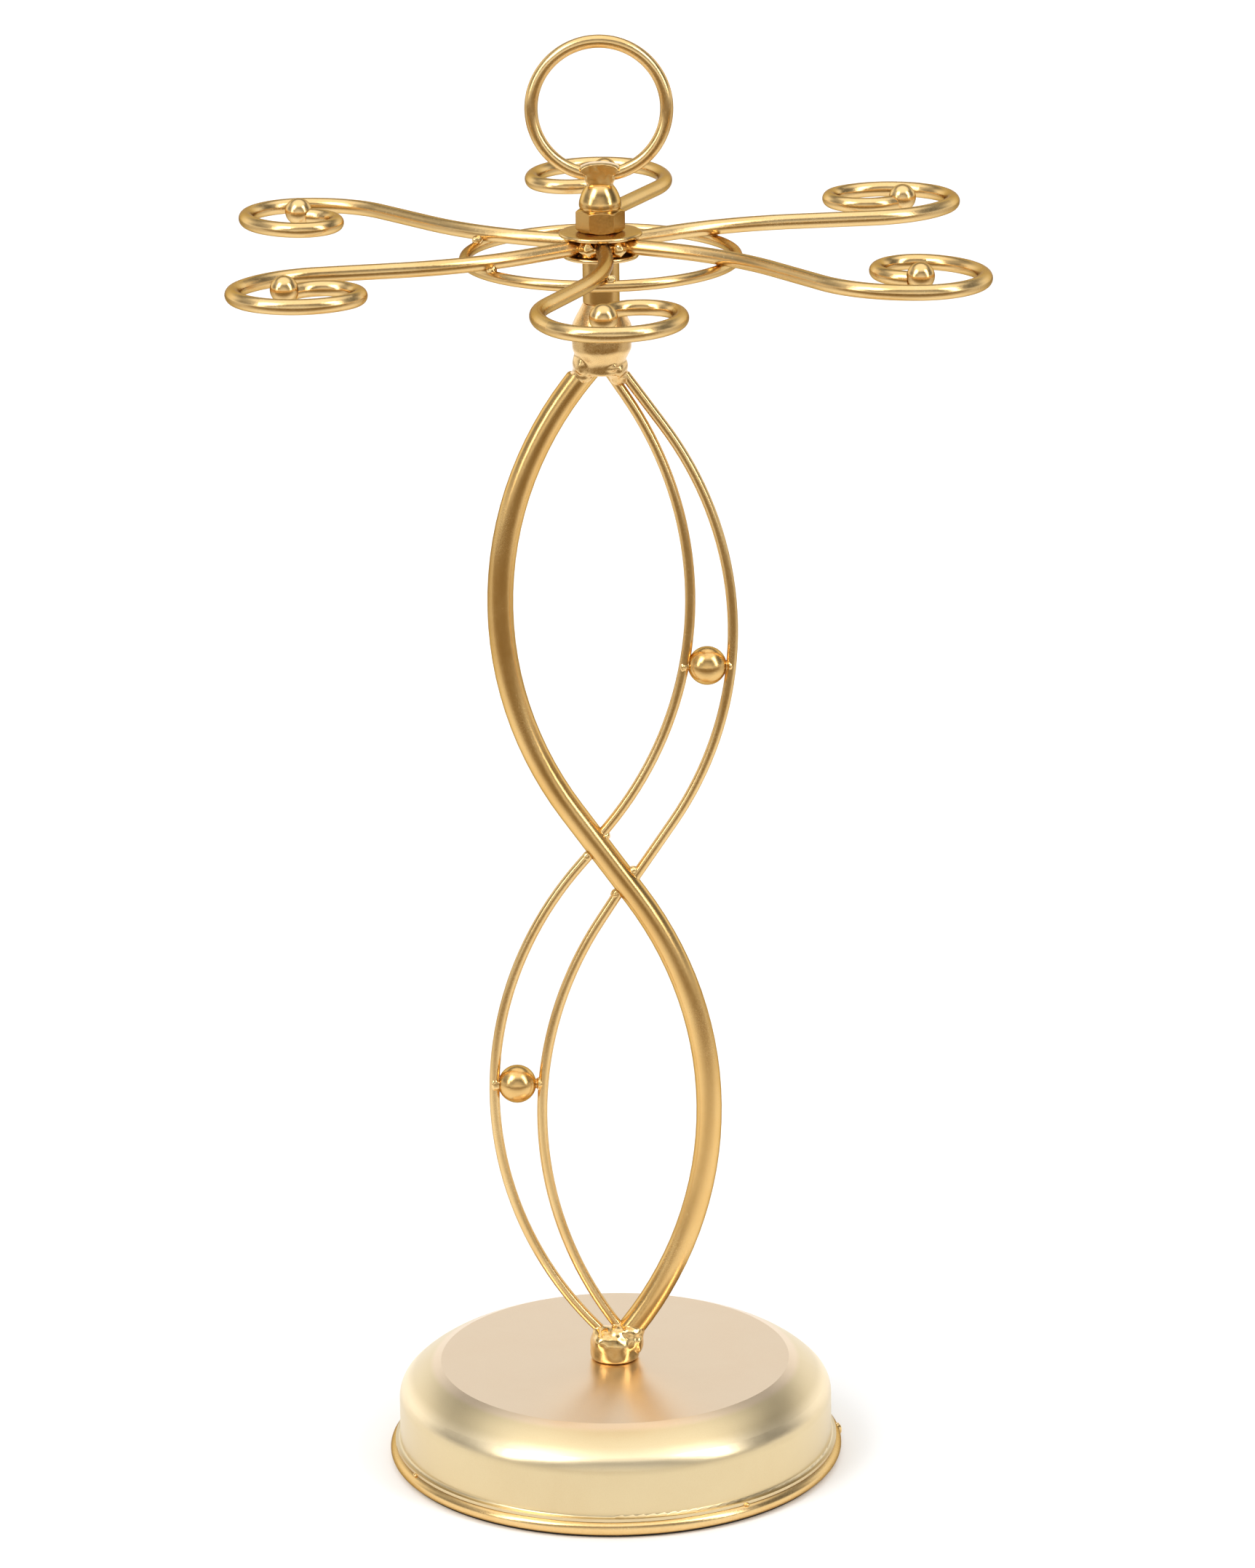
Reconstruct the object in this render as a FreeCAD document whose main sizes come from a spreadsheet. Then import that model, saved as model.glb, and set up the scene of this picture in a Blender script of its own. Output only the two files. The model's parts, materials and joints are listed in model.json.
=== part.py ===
"""Mug tree: a dished base, an S-bent stem of tube and wires, and a six-armed hook carousel
that turns on an M8 stud under a domed nut with a lifting ring.

Millimetres.  +Z is up.  The origin is the centre of the base's underside, and the stem's
bends lie in the XZ plane.
"""

import FreeCAD, Part
import math
import os

import Sketcher

V = FreeCAD.Vector
Rotation = FreeCAD.Rotation
Placement = FreeCAD.Placement
X_AXIS = V(1, 0, 0)
Z_AXIS = V(0, 0, 1)

doc = FreeCAD.newDocument("MugTree")

# ------------------------------------------------------------------ driving dimensions

DIMENSIONS = {
    "base_height": 31.8,
    "base_radius": 68.8,
    "crease_radius": 55.4,
    "shoulder_bend": 28.4,
    "shoulder_inset": 2.1,
    "shoulder_drop": 6.9,
    "edge_bend": 7.2,
    "edge_drop": 12.0,
    "sheet_thickness": 1.0,
    "lip_radius": 70.4,
    "lip_bend": 0.8,
    "bead_radius": 69.8,
    "bead_wire": 4.4,
    "pad_radius": 70.0,
    "pad_thickness": 0.6,
    "ballast_radius": 50.0,
    "ballast_thickness": 6.0,
    "screw_diameter": 6.0,
    "screw_clearance": 0.05,
    "screw_head_radius": 5.0,
    "screw_head_height": 4.0,
    "screw_reach": 6.6,
    "base_washer_radius": 9.0,
    "base_washer_thickness": 1.6,
    "boss_radius": 7.9,
    "boss_top": 39.9,
    "tube_diameter": 8.0,
    "tube_wall": 1.0,
    "wire_diameter": 3.2,
    "stem_ball_diameter": 12.0,
    "stem_top": 353.4,
    "collar_radius": 9.1,
    "collar_foot_radius": 6.9,
    "collar_foot_height": 3.5,
    "collar_low_edge": 360.9,
    "collar_high_edge": 368.4,
    "pillar_foot": 375.4,
    "pillar_top": 389.3,
    "pillar_diameter": 11.2,
    "stud_diameter": 8.0,
    "stud_foot": 358.4,
    "stud_top": 407.8,
    "thread_pitch": 1.25,
    "thread_depth": 0.6,
    "stud_clearance": 0.08,
    "pillar_clearance": 0.2,
    "washer_thickness": 1.4,
    "lower_washer_radius": 11.65,
    "upper_washer_radius": 12.7,
    "turning_gap": 0.05,
    "hub_radius": 8.0,
    "hub_height": 5.1,
    "arm_wire": 4.7,
    "tip_ball_diameter": 8.4,
    "tip_ball_lift": 1.2,
    "ring_radius": 41.2,
    "ring_wire": 3.5,
    "nut_across_flats": 13.0,
    "nut_hex_height": 6.5,
    "nut_height": 15.0,
    "nut_dome_radius": 6.25,
    "nut_bore_depth": 11.0,
    "nut_turn": 3.0,
    "handle_radius": 20.4,
    "handle_wire": 4.0,
}

sheet = doc.addObject("Spreadsheet::Sheet", "Sizes")
for row, (alias, value) in enumerate(DIMENSIONS.items(), start=1):
    sheet.set(f"A{row}", alias)
    sheet.set(f"B{row}", str(value))
    sheet.setAlias(f"B{row}", alias)
working = doc.addObject("Spreadsheet::Sheet", "Working")
doc.recompute()


def value_of(formula):
    """What a formula of the sheet's names comes to, worked out in a cell of its own."""
    working.set("A1", "=" + formula)
    working.recompute()
    return float(working.get("A1"))


# Levels of the stack on the pillar, each a formula of the sheet's names.
HUB_FOOT = "Sizes.pillar_top + Sizes.washer_thickness + Sizes.turning_gap"
ARM_LEVEL = f"{HUB_FOOT} + Sizes.hub_height / 2"
UPPER_WASHER_FOOT = f"{HUB_FOOT} + Sizes.hub_height + Sizes.turning_gap"
NUT_FOOT = f"{UPPER_WASHER_FOOT} + Sizes.washer_thickness + Sizes.turning_gap"
RING_LEVEL = f"{ARM_LEVEL} - Sizes.arm_wire / 2 - Sizes.ring_wire / 2"
HANDLE_LEVEL = f"{NUT_FOOT} + Sizes.nut_height + Sizes.handle_radius + Sizes.handle_wire / 2"
BEAD_LEVEL = "Sizes.pad_thickness + Sizes.bead_wire / 2"
UNDER_SHELL = "Sizes.base_height - Sizes.sheet_thickness"
BALLAST_FOOT = f"{UNDER_SHELL} - Sizes.ballast_thickness"
BASE_WASHER_FOOT = f"{BALLAST_FOOT} - Sizes.base_washer_thickness"
SCREW_HOLE = "Sizes.screw_diameter / 2 + Sizes.screw_clearance"
STUD_RADIUS = "Sizes.stud_diameter / 2"
STUD_HOLE = f"{STUD_RADIUS} + Sizes.stud_clearance"

# ------------------------------------------------------------------ sketches and bodies


def origin_plane(body, role):
    """One of a body's own origin planes, such as XZ_Plane."""
    return next(item for item in body.Origin.OriginFeatures if item.Role == role)


def new_body(label):
    body = doc.addObject("PartDesign::Body", label)
    body.Label = label
    return body


def new_sketch(body, role, name):
    """An empty sketch on one of the body's origin planes."""
    sketch = body.newObject("Sketcher::SketchObject", name)
    sketch.AttachmentSupport = [(origin_plane(body, role), "")]
    sketch.MapMode = "FlatFace"
    return sketch


def constrain(sketch, kind, *places, formula=None):
    """Adds a constraint; one with a formula is a dimension that follows the sheet."""
    if formula is None:
        sketch.addConstraint(Sketcher.Constraint(kind, *places))
        return
    number = sketch.addConstraint(Sketcher.Constraint(kind, *places, value_of(formula)))
    sketch.setExpression(f"Constraints[{number}]", formula)


def add_circle(sketch, radius):
    """A circle round the sketch's origin."""
    index = sketch.addGeometry(Part.Circle(V(0, 0, 0), Z_AXIS, value_of(radius)), False)
    constrain(sketch, "Coincident", index, 3, -1, 1)
    constrain(sketch, "Radius", index, formula=radius)
    return index


def fix_point(sketch, index, end, across, up):
    """Ties one end of a line or arc to its distances from the sketch's origin."""
    for kind, axis, formula in (("DistanceX", -2, across), ("DistanceY", -1, up)):
        if formula == "0":
            constrain(sketch, "PointOnObject", index, end, axis)
        else:
            constrain(sketch, kind, -1, 1, index, end, formula=formula)


def arc_between(start, finish, radius, left):
    """The short arc of a radius from start to finish; left says which way it turns."""
    chord = finish - start
    side = V(-chord.y, chord.x, 0).normalize() * (1 if left else -1)
    rise = math.sqrt(radius**2 - (chord.Length / 2) ** 2)
    centre = start + chord / 2 + side * rise
    middle = centre - side * radius
    return Part.Arc(start, middle, finish)


def add_outline(sketch, points):
    """A closed outline of (across, up) formulas.  A point with two more items, a radius
    formula and "left" or "right", is reached by an arc of that radius turning that way."""
    corners = [V(value_of(point[0]), value_of(point[1]), 0) for point in points]
    count = len(points)
    for index, point in enumerate(points):
        start, finish = corners[index - 1], corners[index]
        if len(point) == 4:
            arc = arc_between(start, finish, value_of(point[2]), point[3] == "left")
            sketch.addGeometry(arc, False)
        else:
            sketch.addGeometry(Part.LineSegment(start, finish), False)
    for index, point in enumerate(points):
        is_arc = len(point) == 4
        end, next_is_arc = 2, len(points[(index + 1) % count]) == 4
        if is_arc and point[3] == "right":
            end = 1
        next_start = 1
        if next_is_arc and points[(index + 1) % count][3] == "right":
            next_start = 2
        constrain(sketch, "Coincident", index, end, (index + 1) % count, next_start)
        fix_point(sketch, index, end, point[0], point[1])
        if is_arc:
            constrain(sketch, "Radius", index, formula=point[2])


def turned(label, outline):
    """A body turned about Z from a closed outline of (radius, height)."""
    body = new_body(label)
    sketch = new_sketch(body, "XZ_Plane", label + "_profile")
    add_outline(sketch, outline)
    feature = body.newObject("PartDesign::Revolution", label + "_turned")
    feature.Profile = sketch
    feature.ReferenceAxis = (sketch, ["V_Axis"])
    feature.Angle = 360
    return body


def disc(label, outer, inner, thickness, level):
    """A flat disc with a round hole, lying with its underside at a level."""
    body = new_body(label)
    sketch = new_sketch(body, "XY_Plane", label + "_profile")
    add_circle(sketch, outer)
    if inner:
        add_circle(sketch, inner)
    pad = body.newObject("PartDesign::Pad", label + "_pad")
    pad.Profile = sketch
    pad.setExpression("Length", thickness)
    body.setExpression("Placement.Base.z", level)
    return body


# ------------------------------------------------------------------ wires and welds


def polar(radius, degrees, level):
    """The point at a radius and a heading from the axis."""
    angle = math.radians(degrees)
    return (radius * math.cos(angle), radius * math.sin(angle), level)


def bent_path(start, heading, moves, upright):
    """The centre line of a bent wire: straight runs and tangent arcs.

    start is (across, along), heading is in degrees, and each move is (length,) for a
    straight run or (radius, degrees) for a bend, positive to the left.  The path lies in
    the XZ plane when upright, else in the XY plane.  Returns the edges' wire.
    """

    def place(u, v):
        return V(u, 0, v) if upright else V(u, v, 0)

    across, along = start
    angle = math.radians(heading)
    edges = []
    for move in moves:
        if len(move) == 1:
            end_across = across + move[0] * math.cos(angle)
            end_along = along + move[0] * math.sin(angle)
            edges.append(Part.LineSegment(place(across, along), place(end_across, end_along)))
        else:
            radius, turn = move[0], math.radians(move[1])
            side = math.copysign(1, turn)
            centre = (
                across - side * radius * math.sin(angle),
                along + side * radius * math.cos(angle),
            )

            def on_arc(direction):
                return (
                    centre[0] + side * radius * math.sin(direction),
                    centre[1] - side * radius * math.cos(direction),
                )

            middle = on_arc(angle + turn / 2)
            end_across, end_along = on_arc(angle + turn)
            edges.append(
                Part.Arc(place(across, along), place(*middle), place(end_across, end_along))
            )
            angle += turn
        across, along = end_across, end_along
    return Part.Wire([edge.toShape() for edge in edges])


def swept_wire(name, path, radius):
    """A round wire along a path; radius is a formula."""
    spine = doc.addObject("Part::Feature", name + "_path")
    spine.Shape = path
    first = path.Edges[0]
    start = first.valueAt(first.FirstParameter)
    along = first.tangentAt(first.FirstParameter)
    profile = doc.addObject("Part::Circle", name + "_section")
    profile.setExpression("Radius", radius)
    profile.Placement = Placement(start, Rotation(Z_AXIS, along))
    sweep = doc.addObject("Part::Sweep", name + "_swept")
    sweep.Sections = [profile]
    sweep.Spine = (spine, [f"Edge{number}" for number in range(1, len(path.Edges) + 1)])
    sweep.Solid = True
    return sweep


def less(label, base, tools):
    """A piece with the space of its neighbours cut away, one after another."""
    for number, tool in enumerate(tools, start=1):
        last = number == len(tools)
        cut = doc.addObject("Part::Cut", label if last else f"{label}_cut_{number}")
        cut.Base = base
        cut.Tool = tool
        base = cut
    base.Label = label
    return base


def sphere(name, centre, radius):
    """A ball; radius is a formula or a plain number of millimetres."""
    ball = doc.addObject("Part::Sphere", name)
    ball.Label = name
    ball.setExpression("Radius", str(radius))
    ball.Placement = Placement(V(*centre), Rotation())
    return ball


def weld(label, lumps, neighbours):
    """Weld metal: overlapping lumps, each (x, y, z, radius), fitted round what they join."""
    balls = [
        sphere(f"{label}_lump_{number}", lump[:3], lump[3])
        for number, lump in enumerate(lumps, start=1)
    ]
    if len(balls) == 1:
        return less(label, balls[0], neighbours)
    fuse = doc.addObject("Part::MultiFuse", label + "_lumps")
    fuse.Shapes = balls
    return less(label, fuse, neighbours)


def weld_dabs(label, dabs):
    """Separate dabs in one node, each (x, y, z, radius) with a list of what it joins."""
    links = [
        weld(f"{label}_{number}", [dab], neighbours)
        for number, (dab, neighbours) in enumerate(dabs, start=1)
    ]
    group = doc.addObject("Part::Compound", label)
    group.Label = label
    group.Links = links
    return group


def torus(label, ring_radius, wire_diameter, level):
    ring = doc.addObject("Part::Torus", label)
    ring.Label = label
    ring.setExpression("Radius1", ring_radius)
    ring.setExpression("Radius2", f"{wire_diameter} / 2")
    ring.setExpression("Placement.Base.z", level)
    return ring


# ------------------------------------------------------------------ base


def make_base():
    lip_foot = f"{BEAD_LEVEL} + Sizes.bead_wire / 2"
    lip_top = f"{lip_foot} + Sizes.sheet_thickness"
    edge_level = "Sizes.base_height - Sizes.edge_drop"
    shoulder = "Sizes.base_radius - Sizes.shoulder_inset"
    shoulder_level = "Sizes.base_height - Sizes.shoulder_drop"
    inner_wall = "Sizes.base_radius - Sizes.sheet_thickness"
    shell = turned(
        "base_shell",
        [
            (SCREW_HOLE, UNDER_SHELL),
            ("Sizes.crease_radius - Sizes.sheet_thickness * 0.3", UNDER_SHELL),
            (
                f"{shoulder} - Sizes.sheet_thickness * 0.7",
                f"{shoulder_level} - Sizes.sheet_thickness * 0.7",
                "Sizes.shoulder_bend - Sizes.sheet_thickness",
                "right",
            ),
            (inner_wall, edge_level, "Sizes.edge_bend - Sizes.sheet_thickness", "right"),
            (inner_wall, lip_foot),
            ("Sizes.lip_radius", lip_foot),
            ("Sizes.lip_radius", lip_top),
            ("Sizes.base_radius + Sizes.lip_bend", lip_top),
            ("Sizes.base_radius", f"{lip_top} + Sizes.lip_bend", "Sizes.lip_bend", "right"),
            ("Sizes.base_radius", edge_level),
            (shoulder, shoulder_level, "Sizes.edge_bend", "left"),
            ("Sizes.crease_radius", "Sizes.base_height", "Sizes.shoulder_bend", "left"),
            (SCREW_HOLE, "Sizes.base_height"),
        ],
    )
    bead = torus("base_bead", "Sizes.bead_radius", "Sizes.bead_wire", BEAD_LEVEL)
    pad = disc("base_pad", "Sizes.pad_radius", None, "Sizes.pad_thickness", "0")
    ballast = disc(
        "ballast_disc",
        "Sizes.ballast_radius",
        f"{SCREW_HOLE} + 0.3",
        "Sizes.ballast_thickness",
        BALLAST_FOOT,
    )
    washer = disc(
        "base_washer",
        "Sizes.base_washer_radius",
        f"{SCREW_HOLE} + 0.2",
        "Sizes.base_washer_thickness",
        BASE_WASHER_FOOT,
    )
    bead_joint = polar(value_of("Sizes.bead_radius") + 0.8, 6, value_of(BEAD_LEVEL))
    bead_dab = weld("bead_weld", [(*bead_joint, 2.1)], [bead, shell, pad])
    return [shell, bead, pad, ballast, washer, bead_dab]


def hexagon(sketch, across_flats):
    """A regular hexagon with one flat facing the sketch's -Y."""
    corner_radius = f"({across_flats}) / 2 / cos(30)"
    rim = sketch.addGeometry(Part.Circle(V(0, 0, 0), Z_AXIS, value_of(corner_radius)), True)
    constrain(sketch, "Coincident", rim, 3, -1, 1)
    constrain(sketch, "Radius", rim, formula=corner_radius)
    corners = []
    for number in range(6):
        angle = math.radians(60 * number)
        reach = value_of(corner_radius)
        corners.append(V(reach * math.cos(angle), reach * math.sin(angle), 0))
    sides = []
    for number in range(6):
        side = Part.LineSegment(corners[number], corners[(number + 1) % 6])
        sides.append(sketch.addGeometry(side, False))
    for number in range(6):
        constrain(sketch, "Coincident", sides[number], 2, sides[(number + 1) % 6], 1)
        constrain(sketch, "PointOnObject", sides[number], 1, rim)
    for side in sides[1:]:
        constrain(sketch, "Equal", sides[0], side)
    constrain(sketch, "Horizontal", sides[1])


def make_base_screw():
    """A hexagon-headed screw, head down, from inside the shell up into the boss."""
    body = new_body("base_screw")
    head = new_sketch(body, "XY_Plane", "base_screw_head_profile")
    hexagon(head, "2 * Sizes.screw_head_radius")
    head_pad = body.newObject("PartDesign::Pad", "base_screw_head")
    head_pad.Profile = head
    head_pad.setExpression("Length", "Sizes.screw_head_height")
    shank = new_sketch(body, "XY_Plane", "base_screw_shank_profile")
    add_circle(shank, "Sizes.screw_diameter / 2")
    shank_pad = body.newObject("PartDesign::Pad", "base_screw_shank")
    shank_pad.Profile = shank
    grip = "Sizes.base_washer_thickness + Sizes.ballast_thickness + Sizes.sheet_thickness"
    shank_length = f"Sizes.screw_head_height + {grip} + Sizes.screw_reach"
    shank_pad.setExpression("Length", shank_length)
    head_foot = f"{BASE_WASHER_FOOT} - Sizes.screw_head_height"
    body.setExpression("Placement.Base.z", head_foot)
    return body


# ------------------------------------------------------------------ stem


def make_lower_boss():
    edge = "0.4"
    return turned(
        "lower_boss",
        [
            ("0", "Sizes.base_height + Sizes.screw_reach + 0.6"),
            (SCREW_HOLE, "Sizes.base_height + Sizes.screw_reach + 0.6"),
            (SCREW_HOLE, "Sizes.base_height"),
            (f"Sizes.boss_radius - {edge}", "Sizes.base_height"),
            ("Sizes.boss_radius", f"Sizes.base_height + {edge}"),
            ("Sizes.boss_radius", f"Sizes.boss_top - {edge}"),
            (f"Sizes.boss_radius - {edge}", "Sizes.boss_top"),
            ("0", "Sizes.boss_top"),
        ],
    )


def make_upper_boss():
    """The collar on the stem's top, tapped for the stud and coned up to the pillar."""
    return turned(
        "upper_boss",
        [
            ("0", "Sizes.stem_top"),
            ("Sizes.collar_foot_radius", "Sizes.stem_top"),
            ("Sizes.collar_foot_radius", "Sizes.stem_top + Sizes.collar_foot_height"),
            ("Sizes.collar_radius", "Sizes.collar_low_edge"),
            ("Sizes.collar_radius", "Sizes.collar_high_edge"),
            ("Sizes.collar_radius - 0.9", "Sizes.collar_high_edge + 1.4"),
            ("Sizes.pillar_diameter / 2", "Sizes.pillar_foot"),
            (STUD_HOLE, "Sizes.pillar_foot"),
            (STUD_HOLE, "Sizes.stud_foot - 0.5"),
            ("0", "Sizes.stud_foot - 0.5"),
        ],
    )


# Stem bends in the XZ plane: the tube and the two wires lean from the boss to opposite
# sides, cross at mid height and come together again under the collar.
TUBE = ((0.5, 35.7), 51.5, [(6.0,), (121.5, 73.8), (33.9,), (114.2, -75.2), (6.0,)])
LOWER_OUTER = ((-2.2, 38.8), 133.2, [(5.0,), (115.0, -84.2), (7.0,)])
LOWER_INNER = ((1.2, 42.4), 126.2, [(119.8, -69.0), (14.6,)])
UPPER_OUTER = ((5.0, 187.5), 55.9, [(27.0,), (110.8, 69.8), (21.0,)])
UPPER_INNER = ((-3.8, 204.1), 51.2, [(6.9,), (116.1, 72.2), (11.0,)])
LOWER_BALL = (-29.6, 0, 124.4)
UPPER_BALL = (31.2, 0, 260.3)


def trim_block(name, foot, height):
    """A block that cuts off what sticks out beyond a boss's flat face."""
    reach = 60
    block = doc.addObject("Part::Box", name)
    block.Length = block.Width = 2 * reach
    block.Height = height
    block.Placement = Placement(V(-reach, -reach, foot), Rotation())
    return block


def stem_ball(label, centre, wires):
    """A ball pinched between two wires, which it is hollowed to fit."""
    whole = sphere(label + "_whole", centre, "Sizes.stem_ball_diameter / 2")
    return less(label, whole, wires)


def make_stem():
    lower_boss = make_lower_boss()
    upper_boss = make_upper_boss()
    below = trim_block("below_stem", value_of("Sizes.boss_top") - 30, 30)
    above = trim_block("above_stem", value_of("Sizes.stem_top"), 30)
    tube_path = bent_path(*TUBE, upright=True)
    tube_solid = swept_wire("tube", tube_path, "Sizes.tube_diameter / 2")
    bore = swept_wire("tube_bore", tube_path, "Sizes.tube_diameter / 2 - Sizes.tube_wall")
    tube = less("stem_tube", tube_solid, [bore, below, above])

    wires = {}
    rivals = {
        "lower_outer_wire": (LOWER_OUTER, []),
        "lower_inner_wire": (LOWER_INNER, []),
        "upper_inner_wire": (UPPER_INNER, []),
        "upper_outer_wire": (UPPER_OUTER, ["upper_inner_wire_swept"]),
    }
    for name, ((start, heading, moves), earlier) in rivals.items():
        path = bent_path(start, heading, moves, upright=True)
        swept = swept_wire(name, path, "Sizes.wire_diameter / 2")
        neighbours = [tube_solid, below, above]
        neighbours += [doc.getObject(other) for other in earlier]
        wires[name] = less(name, swept, neighbours)

    swept_all = [tube_solid] + [doc.getObject(name + "_swept") for name in rivals]
    lower_outer, lower_inner, upper_inner, upper_outer = swept_all[1:]
    lower_ball = stem_ball("lower_ball", LOWER_BALL, [lower_outer, lower_inner])
    upper_ball = stem_ball("upper_ball", UPPER_BALL, [upper_inner, upper_outer])
    lower_weld = weld(
        "lower_weld",
        [(5.0, 0, 40.8, 4.6), (-3.6, 0, 40.8, 3.0), (1.0, 0, 40.4, 3.4)],
        swept_all + [below],
    )
    upper_weld = weld(
        "upper_weld",
        [(-5.2, 0, 352.6, 4.9), (5.4, 0, 352.0, 3.9), (0.4, 0, 353.6, 3.6)],
        swept_all + [above],
    )
    crossing_welds = weld_dabs(
        "crossing_welds",
        [
            ((-6.3, 0, 199.2, 2.2), [tube_solid, lower_outer]),
            ((-1.2, 0, 205.8, 2.2), [tube_solid, upper_inner]),
            ((2.3, 0, 186.6, 2.2), [tube_solid, lower_inner]),
            ((7.4, 0, 194.0, 2.2), [tube_solid, upper_outer]),
        ],
    )
    ball_welds = weld_dabs(
        "ball_welds",
        [
            ((LOWER_BALL[0] - 6.4, 0, LOWER_BALL[2], 2.2), [lower_ball, lower_outer]),
            ((LOWER_BALL[0] + 6.6, 0, LOWER_BALL[2], 2.2), [lower_ball, lower_inner]),
            ((UPPER_BALL[0] - 6.6, 0, UPPER_BALL[2], 2.2), [upper_ball, upper_inner]),
            ((UPPER_BALL[0] + 6.4, 0, UPPER_BALL[2], 2.2), [upper_ball, upper_outer]),
        ],
    )
    pieces = [lower_boss, upper_boss, tube, lower_ball, upper_ball] + list(wires.values())
    return pieces + [lower_weld, upper_weld, crossing_welds, ball_welds]


def make_stud():
    """The M8 threaded rod, its thread drawn as a groove at every pitch."""
    edge = "0.7"
    body = turned(
        "stud",
        [
            ("0", "Sizes.stud_foot"),
            (f"{STUD_RADIUS} - {edge}", "Sizes.stud_foot"),
            (STUD_RADIUS, f"Sizes.stud_foot + {edge}"),
            (STUD_RADIUS, f"Sizes.stud_top - {edge}"),
            (f"{STUD_RADIUS} - {edge}", "Sizes.stud_top"),
            ("0", "Sizes.stud_top"),
        ],
    )
    notch = new_sketch(body, "XZ_Plane", "thread_profile")
    first = f"Sizes.stud_foot + {edge} + Sizes.thread_pitch"
    add_outline(
        notch,
        [
            (f"{STUD_RADIUS} - Sizes.thread_depth", f"{first} + Sizes.thread_pitch / 2"),
            (f"{STUD_RADIUS} + 0.2", first),
            (f"{STUD_RADIUS} + 0.2", f"{first} + Sizes.thread_pitch"),
        ],
    )
    doc.recompute()
    groove = body.newObject("PartDesign::Groove", "thread_groove")
    groove.Profile = notch
    groove.ReferenceAxis = (notch, ["V_Axis"])
    groove.Angle = 360
    doc.recompute()
    rows = body.newObject("PartDesign::LinearPattern", "thread_grooves")
    rows.Originals = [groove]
    rows.Direction = (notch, ["V_Axis"])
    turns = int((value_of("Sizes.stud_top - Sizes.stud_foot") - 4) / value_of("Sizes.thread_pitch"))
    rows.Occurrences = turns
    rows.setExpression("Length", f"Sizes.thread_pitch * {turns - 1}")
    body.Tip = rows
    return body


def make_pillar():
    return disc(
        "pillar",
        "Sizes.pillar_diameter / 2",
        f"{STUD_RADIUS} + Sizes.pillar_clearance",
        "Sizes.pillar_top - Sizes.pillar_foot",
        "Sizes.pillar_foot",
    )


# ------------------------------------------------------------------ carousel

# Plan of one arm, lying along +X: out from the hub, a bend and a slant to the right, then
# a scroll to the left that closes on its ball.
ARM_START = (5.0, 0.0)
ARM_RUN = 15.1
ARM_BEND = (92.8, 27.3)
ARM_SLANT = 24.0
ARM_SCROLL = [(33.3, 53.3), (19.0, 87.7), (21.9, 75.6), (11.4, 172.7)]
ARM_END = 2.7
BALL_OVERLAP = 0.8

# The arms are bent and welded by hand.  Each has its own lean off the even 60 degree
# spacing and its own extra slant, in degrees, its own extra reach, in millimetres, and
# its own size of scroll.
FIRST_ARM = -85.0
ARMS = [
    {"lean": -1.1, "reach": -1.2, "scroll": 1.00, "slant": 0.1},
    {"lean": -2.9, "reach": 0.8, "scroll": 1.05, "slant": 0.0},
    {"lean": -1.0, "reach": 5.0, "scroll": 0.97, "slant": -1.3},
    {"lean": -3.5, "reach": -1.5, "scroll": 1.02, "slant": -1.5},
    {"lean": 1.4, "reach": 0.6, "scroll": 0.92, "slant": -1.3},
    {"lean": 2.7, "reach": 7.0, "scroll": 0.95, "slant": -0.7},
]


def arm_moves(arm):
    """The runs and bends of one arm."""
    bend_radius, bend_turn = ARM_BEND
    moves = [(ARM_RUN + arm["reach"],), (bend_radius, -bend_turn - arm["slant"]), (ARM_SLANT,)]
    scroll = [(radius * arm["scroll"], turn) for radius, turn in ARM_SCROLL]
    first_radius, first_turn = scroll[0]
    scroll[0] = (first_radius, first_turn + arm["slant"])
    return moves + scroll + [(ARM_END * arm["scroll"],)]


def make_arm(number, heading, arm):
    """One arm and its ball, fitted to the hub's round side."""
    path = bent_path(ARM_START, 0, arm_moves(arm), upright=False)
    last = path.Edges[-1]
    tip = last.valueAt(last.LastParameter)
    ahead = last.tangentAt(last.LastParameter)
    ball_centre = tip + ahead * (value_of("Sizes.tip_ball_diameter") / 2 - BALL_OVERLAP)
    turn = Rotation(Z_AXIS, heading)
    level = V(0, 0, value_of(ARM_LEVEL))
    path.Placement = Placement(level, turn)
    wire = swept_wire(f"arm_{number}", path, "Sizes.arm_wire / 2")
    place = turn.multVec(ball_centre) + level + V(0, 0, value_of("Sizes.tip_ball_lift"))
    ball = sphere(f"tip_ball_{number}", tuple(place), "Sizes.tip_ball_diameter / 2")
    core = doc.addObject("Part::Cylinder", f"arm_{number}_hub_space")
    core.setExpression("Radius", "Sizes.hub_radius")
    core.Height = 20
    core.Placement = Placement(level - V(0, 0, 10), Rotation())
    return less(f"arm_{number}", wire, [core, ball]), ball


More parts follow.
